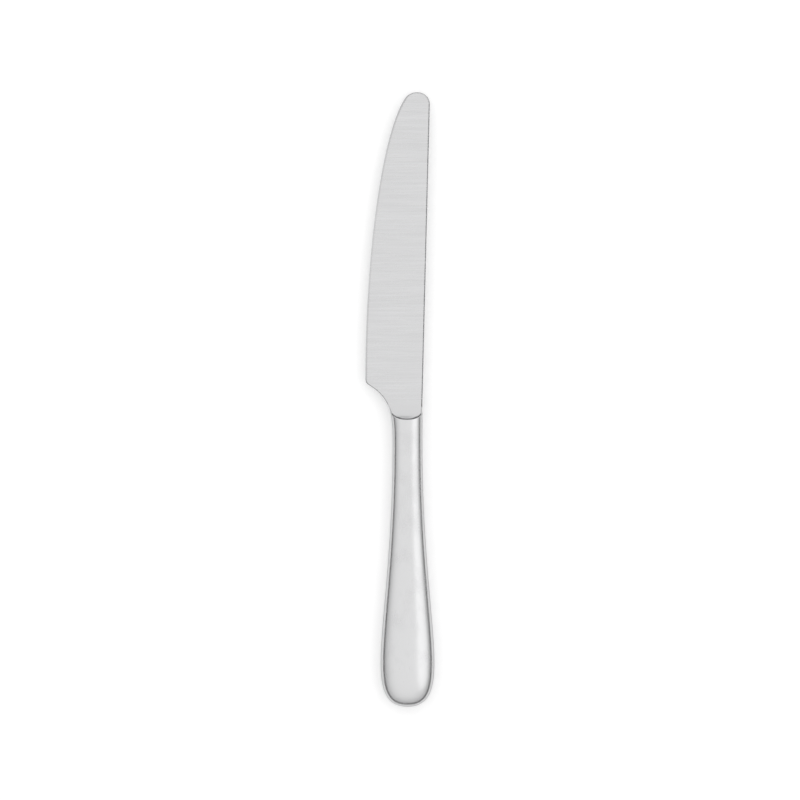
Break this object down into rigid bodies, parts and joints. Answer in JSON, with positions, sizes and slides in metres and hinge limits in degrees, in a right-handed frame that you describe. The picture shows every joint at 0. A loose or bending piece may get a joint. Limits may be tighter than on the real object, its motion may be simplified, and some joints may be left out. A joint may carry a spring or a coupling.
{
  "type": "dessert knife",
  "caption": "Hollow-handled steel dessert knife with a rounded tip, a curved cutting edge, a U-shaped bolster joint and a handle that widens to a rounded butt.",
  "frame": {"origin": "under the middle of the knife's bounding box, on the plane of the handle's lowest point", "axes": "+Y along the knife from the butt to the tip, +X from the cutting edge towards the spine, +Z square to the blade, up"},
  "size_m": [0.0232, 0.206, 0.0087],
  "materials": {
    "blade_steel": "satin",
    "handle_steel": "polished",
    "braze": "satin",
    "solder": "satin",
    "cement": "matte"
  },
  "bodies": {
    "root": {"blade": "blade_steel", "upper_handle_shell": "handle_steel", "lower_handle_shell": "handle_steel", "seam_braze": "braze", "mouth_solder": "solder", "tang_cement": "cement"}
  },
  "joints": []
}
